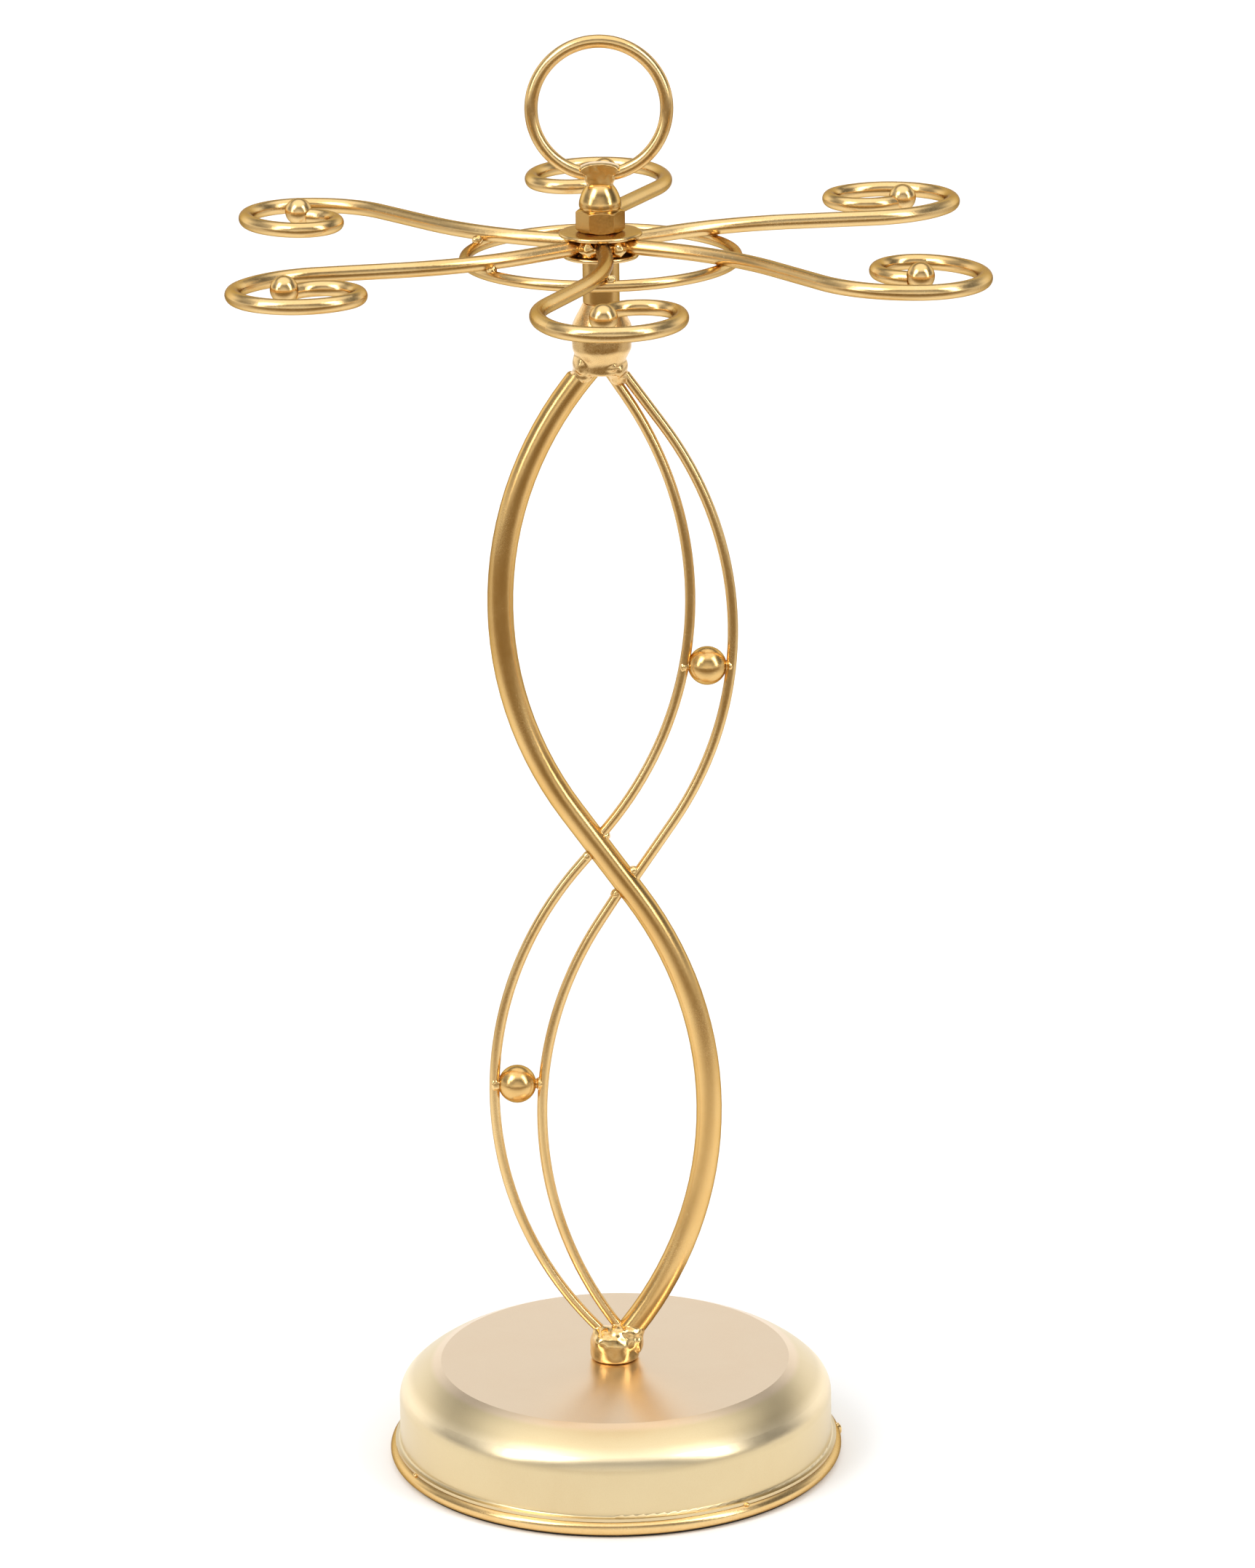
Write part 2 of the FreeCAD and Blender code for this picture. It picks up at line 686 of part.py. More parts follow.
def make_carousel():
    hub = disc("hub", "Sizes.hub_radius", STUD_HOLE, "Sizes.hub_height", HUB_FOOT)
    ring = torus("support_ring", "Sizes.ring_radius", "Sizes.ring_wire", RING_LEVEL)
    level = value_of(ARM_LEVEL)
    ring_top = value_of(f"{RING_LEVEL} + Sizes.ring_wire / 2")
    headings = [FIRST_ARM + 60 * index + arm["lean"] for index, arm in enumerate(ARMS)]
    arms, balls, ring_dabs, hub_dabs = [], [], [], []
    for number, (heading, arm) in enumerate(zip(headings, ARMS), start=1):
        wire, ball = make_arm(number, heading, arm)
        arms.append(wire)
        balls.append(ball)
        dab = (*polar(value_of("Sizes.ring_radius"), heading, ring_top), 1.9)
        ring_dabs.append((dab, [ring, doc.getObject(f"arm_{number}_swept")]))
    for index, heading in enumerate(headings):
        following = (index + 1) % len(headings)
        gap = (headings[following] - heading) % 360
        dab = (*polar(8.7, heading + gap / 2, level), 2.4)
        beside = [doc.getObject(f"arm_{side + 1}_swept") for side in (index, following)]
        hub_dabs.append((dab, [hub] + beside))
    hub_welds = weld_dabs("hub_welds", hub_dabs)
    ring_welds = weld_dabs("ring_welds", ring_dabs)
    return [hub, ring, hub_welds, ring_welds] + arms + balls


# ------------------------------------------------------------------ washers, nut and ring


def make_washers():
    hole = f"{STUD_RADIUS} + Sizes.pillar_clearance"
    thickness = "Sizes.washer_thickness"
    lower = disc("lower_washer", "Sizes.lower_washer_radius", hole, thickness, "Sizes.pillar_top")
    upper = disc("upper_washer", "Sizes.upper_washer_radius", hole, thickness, UPPER_WASHER_FOOT)
    return [lower, upper]


def make_cap_nut():
    """An M8 domed nut: hexagon with chamfered corners, domed cap and a blind bore."""
    body = new_body("cap_nut")
    flats = new_sketch(body, "XY_Plane", "nut_hexagon")
    hexagon(flats, "Sizes.nut_across_flats")
    prism = body.newObject("PartDesign::Pad", "nut_prism")
    prism.Profile = flats
    prism.setExpression("Length", "Sizes.nut_hex_height")
    cap = new_sketch(body, "XZ_Plane", "nut_cap_profile")
    dome = "Sizes.nut_dome_radius"
    add_outline(
        cap,
        [
            ("0", "1"),
            (dome, "1"),
            (dome, f"Sizes.nut_height - {dome}"),
            ("0", "Sizes.nut_height", dome, "left"),
        ],
    )
    doc.recompute()
    capped = body.newObject("PartDesign::Revolution", "nut_cap")
    capped.Profile = cap
    capped.ReferenceAxis = (cap, ["V_Axis"])
    capped.Angle = 360
    doc.recompute()
    for name, low, high in (("foot", "0", "0.55"), ("top", "Sizes.nut_hex_height", None)):
        ring = new_sketch(body, "XZ_Plane", f"nut_{name}_chamfer_profile")
        outer = "Sizes.nut_across_flats / 2 / cos(30) + 0.4"
        inner = "Sizes.nut_across_flats / 2 - 0.05"
        far = high if high else f"{low} - 0.7"
        add_outline(ring, [(inner, low), (outer, low), (outer, far)])
        doc.recompute()
        chamfer = body.newObject("PartDesign::Groove", f"nut_{name}_chamfer")
        chamfer.Profile = ring
        chamfer.ReferenceAxis = (ring, ["V_Axis"])
        chamfer.Angle = 360
        doc.recompute()
    bore = new_sketch(body, "XZ_Plane", "nut_bore_profile")
    depth = "Sizes.nut_bore_depth"
    add_outline(
        bore,
        [("0", "0"), (STUD_HOLE, "0"), (STUD_HOLE, depth), ("0", f"{depth} + 2")],
    )
    doc.recompute()
    drilled = body.newObject("PartDesign::Groove", "nut_bore")
    drilled.Profile = bore
    drilled.ReferenceAxis = (bore, ["V_Axis"])
    drilled.Angle = 360
    body.setExpression("Placement.Base.z", NUT_FOOT)
    body.setExpression("Placement.Rotation.Angle", "Sizes.nut_turn")
    return body


def make_handle(nut):
    """The lifting ring standing on the nut, and the web of weld metal between them."""
    ring = torus("handle_ring", "Sizes.handle_radius", "Sizes.handle_wire", HANDLE_LEVEL)
    ring.Placement = Placement(V(0, 0, 0), Rotation(X_AXIS, 90))
    web = new_body("handle_web")
    sketch = new_sketch(web, "XZ_Plane", "handle_web_profile")
    nut_top = f"{NUT_FOOT} + Sizes.nut_height"
    corners = [(-5.4, 3.9), (-2.2, -1.8), (2.2, -1.8), (5.4, 3.9)]
    level = value_of(nut_top)
    points = [V(across, level + up, 0) for across, up in corners]
    for index, point in enumerate(points):
        sketch.addGeometry(Part.LineSegment(point, points[(index + 1) % len(points)]), False)
    pad = web.newObject("PartDesign::Pad", "handle_web_pad")
    pad.Profile = sketch
    pad.Midplane = True
    pad.setExpression("Length", "Sizes.handle_wire * 1.15")
    hollow = doc.addObject("Part::Cylinder", "handle_hollow")
    hollow.setExpression("Radius", "Sizes.handle_radius")
    hollow.Height = 20
    hollow.Placement = Placement(V(0, 10, value_of(HANDLE_LEVEL)), Rotation(X_AXIS, 90))
    return [ring, less("handle_weld", web, [ring, nut, hollow])]


# ------------------------------------------------------------------ build and write out


def check_document():
    """Stops on any object that failed, and on any sub-part without a sound shape."""
    for item in doc.Objects:
        if {"Invalid", "Error"} & set(item.State):
            raise RuntimeError(f"{item.Label} failed: {item.State}")


def write(piece):
    shape = piece.Shape
    if shape.isNull() or not shape.isValid() or not shape.Solids:
        raise RuntimeError(f"{piece.Label} has no sound shape")
    print(f"{piece.Label}: {len(shape.Solids)} solid, {shape.Volume:.1f} mm3")
    shape.exportStep(os.path.join("parts", piece.Label + ".step"))


def main():
    pieces = make_base() + [make_base_screw()] + make_stem() + [make_stud(), make_pillar()]
    pieces += make_carousel() + make_washers()
    nut = make_cap_nut()
    pieces += [nut] + make_handle(nut)
    doc.recompute()
    check_document()
    os.makedirs("parts", exist_ok=True)
    for piece in pieces:
        write(piece)


main()
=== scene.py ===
import json
import math

import bmesh
import bpy
from mathutils import Matrix, Vector, noise


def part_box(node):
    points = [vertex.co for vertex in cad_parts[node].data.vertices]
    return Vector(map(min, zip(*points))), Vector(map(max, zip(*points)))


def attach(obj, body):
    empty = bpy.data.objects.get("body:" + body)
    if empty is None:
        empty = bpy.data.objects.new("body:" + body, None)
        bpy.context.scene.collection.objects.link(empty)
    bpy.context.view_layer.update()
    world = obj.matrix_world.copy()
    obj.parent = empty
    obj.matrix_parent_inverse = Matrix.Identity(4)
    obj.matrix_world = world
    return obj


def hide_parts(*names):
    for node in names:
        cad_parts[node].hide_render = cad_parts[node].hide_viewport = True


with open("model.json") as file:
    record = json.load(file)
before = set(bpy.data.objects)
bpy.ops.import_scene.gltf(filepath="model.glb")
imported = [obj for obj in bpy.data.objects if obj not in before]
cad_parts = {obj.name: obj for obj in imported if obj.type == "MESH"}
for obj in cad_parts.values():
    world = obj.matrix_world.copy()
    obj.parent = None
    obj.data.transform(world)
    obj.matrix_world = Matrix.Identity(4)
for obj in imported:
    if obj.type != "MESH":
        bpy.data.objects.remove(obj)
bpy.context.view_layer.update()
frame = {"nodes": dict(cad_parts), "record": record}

NODES = frame["nodes"]
MM = 0.001


# ---------------------------------------------------------------- node trees

MIX_FACTOR, MIX_FIRST, MIX_SECOND, MIX_RESULT = 0, 6, 7, 2  # a colour Mix node's sockets


class Nodes:
    """A short way to write the node tree of a material or a world."""

    def __init__(self, owner, shader):
        owner.use_nodes = True
        self.owner = owner
        self.tree = owner.node_tree
        self.shader = self.tree.nodes[shader]
        self.coordinates = self.new("ShaderNodeTexCoord")
        self.place = self.coordinates.outputs["Object"]

    def new(self, kind, **settings):
        node = self.tree.nodes.new(kind)
        for name, value in settings.items():
            setattr(node, name, value)
        return node

    def feed(self, socket, value):
        """Gives a socket a number, a colour or another node's output."""
        if isinstance(value, tuple):
            socket.default_value = (*value, 1.0)
        elif isinstance(value, (int, float)):
            socket.default_value = value
        else:
            self.tree.links.new(value, socket)

    def fill(self, node, inputs):
        for name, value in inputs.items():
            self.feed(node.inputs[name], value)

    def surface(self, inputs):
        """Sets or links inputs of the tree's own shader."""
        self.fill(self.shader, inputs)

    def split(self, vector):
        node = self.new("ShaderNodeSeparateXYZ")
        self.feed(node.inputs[0], vector)
        return node.outputs

    def noise(self, scale, detail=4.0, rough=0.55, distortion=0.0):
        node = self.new("ShaderNodeTexNoise")
        inputs = {"Scale": scale, "Detail": detail, "Roughness": rough, "Distortion": distortion}
        self.fill(node, {"Vector": self.place, **inputs})
        return node.outputs["Fac"]

    def cells(self, scale):
        node = self.new("ShaderNodeTexVoronoi")
        self.fill(node, {"Vector": self.place, "Scale": scale})
        return node.outputs["Distance"]

    def ramp(self, value, low, high):
        """Blends from one colour to another; low and high are each (value, colour)."""
        node = self.new("ShaderNodeValToRGB")
        for element, (position, colour) in zip(node.color_ramp.elements, (low, high)):
            element.position = position
            element.color = (*colour, 1.0)
        self.feed(node.inputs["Fac"], value)
        return node.outputs["Color"]

    def spread(self, value, low, high, start=0.3, end=0.7):
        """A number that runs smoothly from low to high as value runs from start to end."""
        node = self.new("ShaderNodeMapRange", interpolation_type="SMOOTHSTEP")
        limits = {"From Min": start, "From Max": end, "To Min": low, "To Max": high}
        self.fill(node, {"Value": value, **limits})
        return node.outputs["Result"]

    def combine(self, kind, a, b):
        node = self.new("ShaderNodeMath", operation=kind)
        self.feed(node.inputs[0], a)
        self.feed(node.inputs[1], b)
        return node.outputs["Value"]

    def add(self, a, b):
        return self.combine("ADD", a, b)

    def times(self, a, b):
        return self.combine("MULTIPLY", a, b)

    def mix(self, factor, first, second, blend="MIX"):
        node = self.new("ShaderNodeMix", data_type="RGBA", blend_type=blend)
        for number, value in ((MIX_FACTOR, factor), (MIX_FIRST, first), (MIX_SECOND, second)):
            self.feed(node.inputs[number], value)
        return node.outputs[MIX_RESULT]

    def bump(self, height, distance):
        node = self.new("ShaderNodeBump")
        self.fill(node, {"Strength": 1.0, "Distance": distance, "Height": height})
        self.surface({"Normal": node.outputs["Normal"]})


def new_material(name):
    return Nodes(bpy.data.materials.new(name), "Principled BSDF")


# ---------------------------------------------------------------- materials

def plated(name, pale, deep, rough, grain, grain_size, wave):
    """Electroplated metal: cloudy tone, a satin grain, and rubs of other roughness.

    pale and deep are the plating's two tones and rough its lowest and highest roughness.
    grain is the height and grain_size the width of the grain in metres, and wave is the
    share of slow unevenness in the height.
    """
    nodes = new_material(name)
    clouds = nodes.noise(38.0, detail=5.0, distortion=0.4)
    fine = nodes.noise(1.0 / grain_size, detail=3.0, rough=0.6)
    slow = nodes.noise(230.0, detail=2.0)
    tone = nodes.add(nodes.times(clouds, 0.62), nodes.times(fine, 0.38))
    rub = nodes.add(nodes.times(clouds, 0.4), nodes.times(fine, 0.6))
    nodes.surface({
        "Metallic": 1.0,
        "Base Color": nodes.ramp(tone, (0.36, deep), (0.62, pale)),
        "Roughness": nodes.spread(rub, *rough),
    })
    nodes.bump(nodes.add(fine, nodes.times(slow, wave)), grain)
    return nodes


# heights in metres at which a tint of the base, or its painted shoulder highlight, is absent and at
# which it is full
SIDE_TINT_BELOW = (0.0312, 0.0302)
SHOULDER_HIGHLIGHT_ABOVE = (0.0205, 0.0238)
SHOULDER_HIGHLIGHT_BELOW = (0.0275, 0.0246)


def tint_sides_and_paint_shoulder_highlight(nodes):
    """Tints a base's turned sides yellower than its top, and paints a bright highlight on its
    shoulder.
    """
    height = nodes.split(nodes.place)["Z"]
    # the sides below the top are tinted darker and yellower
    side_tint = nodes.spread(height, 0.0, 1.0, *SIDE_TINT_BELOW)
    # painted highlight: a band of the shoulder is made brighter and whiter, as if it mirrored the
    # lamps
    painted_highlight = nodes.times(
        nodes.spread(height, 0.0, 1.0, *SHOULDER_HIGHLIGHT_ABOVE),
        nodes.spread(height, 0.0, 1.0, *SHOULDER_HIGHLIGHT_BELOW),
    )
    tone = nodes.shader.inputs["Base Color"].links[0].from_socket
    tone = nodes.mix(side_tint, tone, (0.90, 0.92, 0.78), "MULTIPLY")
    nodes.surface({"Base Color": nodes.mix(painted_highlight, tone, (1.24, 1.27, 1.40), "MULTIPLY")})


def weld_metal():
    """Weld bead under the plating: glossy, rippled, with painted shade darkening its hollows."""
    nodes = new_material("weld_plating")
    blots = nodes.noise(420.0, distortion=0.8)
    pointiness = nodes.new("ShaderNodeNewGeometry").outputs["Pointiness"]
    # painted shade: hollows, where pointiness is low, are darkened towards brown
    hollow_shade = nodes.spread(pointiness, 1.0, 0.0, 0.44, 0.52)
    gold = nodes.ramp(blots, (0.35, (0.78, 0.50, 0.19)), (0.62, (0.91, 0.66, 0.31)))
    nodes.surface({
        "Metallic": 1.0,
        "Base Color": nodes.mix(nodes.times(hollow_shade, 0.45), gold, (0.42, 0.22, 0.06)),
        "Roughness": nodes.spread(blots, 0.15, 0.27),
    })
    nodes.bump(nodes.noise(500.0, detail=2.0), 0.00003)
    return nodes


def zinc_steel():
    """Zinc plated steel: spangled, with dull stains."""
    nodes = new_material("zinc_steel")
    spangle = nodes.cells(900.0)
    stain = nodes.noise(120.0, detail=5.0)
    bright = nodes.ramp(spangle, (0.1, (0.50, 0.50, 0.49)), (0.8, (0.66, 0.66, 0.64)))
    stained = nodes.spread(stain, 0.0, 0.6, 0.5, 0.75)
    nodes.surface({
        "Metallic": 1.0,
        "Base Color": nodes.mix(stained, bright, (0.42, 0.38, 0.30)),
        "Roughness": nodes.spread(stain, 0.28, 0.45),
    })
    nodes.bump(spangle, 0.00002)
    return nodes


def cast_iron():
    """A rough grey casting with some rust."""
    nodes = new_material("cast_iron")
    sand = nodes.noise(700.0, detail=6.0, rough=0.7)
    rust = nodes.spread(nodes.noise(60.0, detail=6.0), 0.0, 0.7, 0.55, 0.7)
    grey = nodes.ramp(sand, (0.3, (0.05, 0.05, 0.052)), (0.7, (0.13, 0.13, 0.13)))
    nodes.surface({
        "Metallic": 0.7,
        "Base Color": nodes.mix(rust, grey, (0.20, 0.09, 0.04)),
        "Roughness": nodes.spread(sand, 0.55, 0.8),
    })
    nodes.bump(sand, 0.0002)
    return nodes


def black_foam():
    """A dusty black foam with fine pores."""
    nodes = new_material("black_foam")
    pores = nodes.cells(1900.0)
    lint = nodes.noise(150.0, detail=5.0)
    dust = nodes.times(pores, lint)
    nodes.surface({
        "Base Color": nodes.ramp(dust, (0.05, (0.012, 0.012, 0.013)), (0.5, (0.045, 0.044, 0.042))),
        "Roughness": nodes.spread(lint, 0.75, 0.95),
        "Specular IOR Level": 0.3,
    })
    nodes.bump(pores, 0.0001)
    return nodes


SPUN = plated(
    "spun_gold", pale=(0.83, 0.66, 0.46), deep=(0.79, 0.61, 0.41), rough=(0.28, 0.35),
    grain=0.000006, grain_size=0.0004, wave=0.6,
)
SATIN = plated(
    "satin_gold", pale=(0.84, 0.56, 0.23), deep=(0.75, 0.46, 0.16), rough=(0.21, 0.28),
    grain=0.000002, grain_size=0.0004, wave=0.6,
)
BRIGHT = plated(
    "bright_gold", pale=(0.86, 0.61, 0.29), deep=(0.80, 0.53, 0.22), rough=(0.21, 0.28),
    grain=0.0000015, grain_size=0.0007, wave=0.3,
)
DARK = plated(
    "dark_gold", pale=(0.80, 0.53, 0.21), deep=(0.70, 0.43, 0.15), rough=(0.17, 0.25),
    grain=0.000002, grain_size=0.0006, wave=0.4,
)
HEAD = plated(
    "head_gold", pale=(0.86, 0.60, 0.28), deep=(0.77, 0.49, 0.20), rough=(0.20, 0.30),
    grain=0.000006, grain_size=0.0007, wave=1.0,
)
WELD = weld_metal()
tint_sides_and_paint_shoulder_highlight(SPUN)
SPUN.surface({"Coat Weight": 0.2, "Coat Roughness": 0.3})
for plating in (SATIN, BRIGHT, DARK):
    plating.surface({"Specular Tint": (0.38, 0.30, 0.21)})

FINISH = {
    "gold_satin": SATIN,
    "gold_bright": BRIGHT,
    "gold_dark": DARK,
    "weld": WELD,
    "steel": zinc_steel(),
    "iron": cast_iron(),
    "foam": black_foam(),
}


def paint(piece, finish):
    """Gives a piece one of the materials and no other."""
    piece.data.materials.clear()
    piece.data.materials.append(finish.owner)


for part in frame["record"]["subparts"]:
    paint(NODES[part["node"]], FINISH[part["material_slot"]])
paint(NODES["base_shell"], SPUN)


# ------------------------------------------------------------ shapes of metal

SAME_POINT = 1e-6  # points of a mesh that are nearer than this, in metres, are one
JOINT_VOXEL, DAB_VOXEL = 0.00022, 0.0002  # metres
JOINT_SHRINK, DAB_SHRINK = 0.0001, 0.00012  # metres that wires are drawn in under a weld
LUMP_WAVES = 1.7  # swellings in half the width of a drop of weld
RIPPLE_WAVES = 330.0  # ripples in a metre of melted metal


def slice_of(node, low, high, shrink):
    """A closed copy of a CAD node's metal inside a box, drawn in by shrink."""
    mesh = bmesh.new()
    mesh.from_mesh(NODES[node].data)
    bmesh.ops.remove_doubles(mesh, verts=mesh.verts, dist=SAME_POINT)
    for axis in range(3):
        for corner, sign in ((low, -1), (high, 1)):
            normal, point = Vector(), Vector()
            normal[axis], point[axis] = sign, corner[axis]
            bmesh.ops.bisect_plane(
                mesh,
                geom=mesh.verts[:] + mesh.edges[:] + mesh.faces[:],
                plane_co=point,
                plane_no=normal,
                clear_outer=True,
            )
            open_edges = [edge for edge in mesh.edges if edge.is_boundary]
            if open_edges:
                bmesh.ops.holes_fill(mesh, edges=open_edges, sides=0)
    mesh.normal_update()
    for vertex in mesh.verts:
        vertex.co -= vertex.normal * shrink
    return as_mesh(mesh, node + "_slice")


def as_mesh(mesh, name):
    """The finished mesh data of a bmesh, which is used up."""
    data = bpy.data.meshes.new(name)
    mesh.to_mesh(data)
    mesh.free()
    return data


def lump(centre, size, seed, rough=0.12):
    """An uneven drop of weld metal; size is its three half widths."""
    mesh = bmesh.new()
    bmesh.ops.create_icosphere(mesh, subdivisions=4, radius=1.0)
    shift = Vector((seed, 2.3 * seed, 0.7 * seed))
    for vertex in mesh.verts:
        swell = 1.0 + rough * noise.noise(vertex.co * LUMP_WAVES + shift)
        vertex.co = Vector(vertex.co[axis] * size[axis] * swell for axis in range(3)) + centre
    return as_mesh(mesh, "lump")


def rounded(outline, steps=5):
    """A closed outline of (radius, height, rounding) corners with its corners rounded off."""
    points = []
    for number, (radius, height, rounding) in enumerate(outline):
        corner = Vector((radius, height))
        before = Vector(outline[number - 1][:2]) - corner
        after = Vector(outline[(number + 1) % len(outline)][:2]) - corner
        if not rounding:
            points.append(corner)
            continue
        start = corner + before.normalized() * rounding
        end = corner + after.normalized() * rounding
        for step in range(steps + 1):
            t = step / steps
            points.append((1 - t) ** 2 * start + 2 * t * (1 - t) * corner + t * t * end)
    return points


def turned(outline, segments=112, side=None, start=0.0):
    """A closed solid of revolution about the vertical axis; the outline is in metres.

    side gives the furthest that the solid may reach at an angle, and start the first angle.
    """
    mesh = bmesh.new()
    profile = rounded(outline)
    rings = []
    for step in range(segments):
        angle = start + math.tau * step / segments
        ring = []
        for radius, height in profile:
            radius = min(radius, side(angle)) if side else radius
            if radius < SAME_POINT:
                spot = rings[0][len(ring)] if rings else mesh.verts.new((0, 0, height))
            else:
                place = (radius * math.cos(angle), radius * math.sin(angle), height)
                spot = mesh.verts.new(place)
            ring.append(spot)
        rings.append(ring)
    for step, ring in enumerate(rings):
        following = rings[(step + 1) % segments]
        for number in range(len(profile)):
            other = (number + 1) % len(profile)
            corners = [ring[number], following[number], following[other], ring[other]]
            face = list(dict.fromkeys(corners))
            if len(face) > 2:
                mesh.faces.new(face)
    bmesh.ops.recalc_face_normals(mesh, faces=mesh.faces)
    return as_mesh(mesh, "turned")


def add_object(name, data):
    new = bpy.data.objects.new(name, data)
    bpy.context.scene.collection.objects.link(new)
    return new


def add_piece(name, data, finish, body, nodes):
    """Puts a mesh in the scene as a piece that stands for some CAD nodes."""
    data.name = name
    for face in data.polygons:
        face.use_smooth = True
    piece = add_object(name, data)
    paint(piece, finish)
    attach(piece, body)
    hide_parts(*nodes)
    return piece


def melt(parts, voxel, smooth, ripple, keep=None):
    """Melts closed meshes into one skin that flows where they meet.

    voxel is the size in metres that it is melted at and smooth how many times it is smoothed.
    ripple is the height of its ripples, and keep the lowest and highest that it may reach.
    """
    joined = bmesh.new()
    for part in parts:
        joined.from_mesh(part)
        bpy.data.meshes.remove(part)
    crucible = add_object("crucible", as_mesh(joined, "crucible"))
    remesh = crucible.modifiers.new("melt", "REMESH")
    remesh.mode = "VOXEL"
    remesh.voxel_size = voxel
    flow = crucible.modifiers.new("flow", "SMOOTH")
    flow.factor = 0.5
    flow.iterations = smooth
    bpy.context.view_layer.update()
    depsgraph = bpy.context.evaluated_depsgraph_get()
    melted = bpy.data.meshes.new_from_object(crucible.evaluated_get(depsgraph))
    solid = crucible.data
    bpy.data.objects.remove(crucible)
    bpy.data.meshes.remove(solid)
    normals = [vertex.normal.copy() for vertex in melted.vertices]
    for vertex, normal in zip(melted.vertices, normals):
        vertex.co += normal * ripple * noise.noise(vertex.co * RIPPLE_WAVES)
        if keep:
            vertex.co.z = min(max(vertex.co.z, keep[0]), keep[1])
    return melted


def at(*millimetres):
    """A place or a size from millimetres to metres."""
    return Vector(millimetres) * MM


def mm(*corners):
    """Corners (radius, height, rounding) from millimetres to metres."""
    return [tuple(value * MM for value in corner) for corner in corners]


def round_size(box):
    """The radius, foot and top in millimetres of an upright round piece, from its box."""
    low, high = box
    return high.x / MM, low.z / MM, high.z / MM


# ------------------------------------------------------- bosses and their welds

def lower_joint():
    """The turned foot of the stem with the tube and two wires welded to its top."""
    radius, foot, top = round_size(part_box("lower_boss"))
    outline = mm(
        (0, foot, 0), (radius - 0.5, foot, 0.3), (radius, foot + 0.9, 0.7),
        (radius - 0.1, top - 0.1, 2.6), (0, top, 0),
    )
    slices = [
        slice_of(node, at(-14, -9, top - 0.5), at(16, 9, top + 4.5), JOINT_SHRINK)
        for node in ("stem_tube", "lower_outer_wire", "lower_inner_wire")
    ]
    lumps = [
        lump(at(-0.6, -0.3, top - 0.9), at(6.9, 7.0, 2.7), 1.0, 0.08),
        lump(at(-3.6, -0.6, top + 0.4), at(3.6, 4.2, 2.2), 2.0, 0.08),
        lump(at(0.6, -1.6, top + 0.7), at(3.4, 4.2, 2.4), 3.0, 0.06),
        lump(at(5.2, -0.4, top + 0.9), at(4.4, 5.2, 3.4), 4.0, 0.08),
        lump(at(7.3, -1.6, top - 2.4), at(1.9, 3.8, 3.2), 5.0, 0.25),
        lump(at(-3.4, -4.0, top - 1.6), at(3.4, 3.2, 3.0), 6.0, 0.05),
        lump(at(5.2, -4.4, top - 1.6), at(2.4, 2.0, 2.6), 9.0, 0.1),
    ]
    parts = [turned(outline)] + slices + lumps
    skin = melt(parts, JOINT_VOXEL, smooth=64, ripple=0.0001, keep=(foot * MM, math.inf))
    add_piece("stem_foot", skin, WELD, "stand", ["lower_boss", "lower_weld"])


def upper_joint():
    """The turned head of the stem, run together with the welds of the tube and two wires."""
    collar, foot, top = round_size(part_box("upper_boss"))
    outline = mm(
        (0, foot, 0), (6.7, foot, 0.8), (6.9, foot + 3.5, 1.2), (collar, foot + 7.5, 0.8),
        (collar, foot + 15.0, 0.5), (5.6, top, 0), (0, top, 0),
    )
    slices = [
        slice_of(node, at(-16, -9, foot - 4.5), at(17, 9, foot + 0.3), JOINT_SHRINK)
        for node in ("stem_tube", "upper_outer_wire", "upper_inner_wire")
    ]
    lumps = [
        lump(at(-5.5, 0.0, foot + 3.0), at(3.6, 5.6, 5.2), 11.0, 0.08),
        lump(at(-5.9, 0.0, foot - 0.4), at(3.6, 4.7, 3.0), 12.0, 0.1),
        lump(at(0.4, -0.2, foot + 2.5), at(5.4, 6.6, 2.7), 13.0, 0.08),
        lump(at(4.4, 0.0, foot + 1.8), at(3.4, 5.0, 4.2), 14.0, 0.1),
        lump(at(5.0, 0.0, foot - 1.0), at(2.9, 3.3, 3.0), 15.0, 0.15),
        lump(at(2.8, -6.2, foot + 2.7), at(2.8, 0.8, 1.0), 16.0, 0.3),
        lump(at(-6.4, -4.5, foot + 1.3), at(1.0, 0.9, 0.9), 17.0),
        lump(at(-7.5, -4.0, foot + 2.1), at(0.8, 0.8, 0.8), 18.0),
    ]
    skin = melt([turned(outline)] + slices + lumps, JOINT_VOXEL, smooth=40, ripple=0.0001)
    add_piece("stem_head", skin, HEAD, "stand", ["upper_boss", "upper_weld"])


# ------------------------------------------------------------- dabs of weld

def islands(node):
    """The separate lumps of a CAD weld node, each (centre, half widths)."""
    mesh = bmesh.new()
    mesh.from_mesh(NODES[node].data)
    bmesh.ops.remove_doubles(mesh, verts=mesh.verts, dist=SAME_POINT)
    left = set(mesh.verts)
    found = []
    while left:
        group = {left.pop()}
        edge_of_group = list(group)
        while edge_of_group:
            vertex = edge_of_group.pop()
            for edge in vertex.link_edges:
                other = edge.other_vert(vertex)
                if other in left:
                    left.discard(other)
                    group.add(other)
                    edge_of_group.append(other)
        low = Vector(min(vertex.co[axis] for vertex in group) for axis in range(3))
        high = Vector(max(vertex.co[axis] for vertex in group) for axis in range(3))
        found.append(((low + high) / 2, (high - low) / 2))
    mesh.free()
    return sorted(found, key=lambda island: tuple(round(value, 5) for value in island[0]))


def touches(node, low, high):
    """Whether a CAD node's box meets the box from low to high."""
    bottom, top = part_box(node)
    return all(bottom[axis] < high[axis] and top[axis] > low[axis] for axis in range(3))


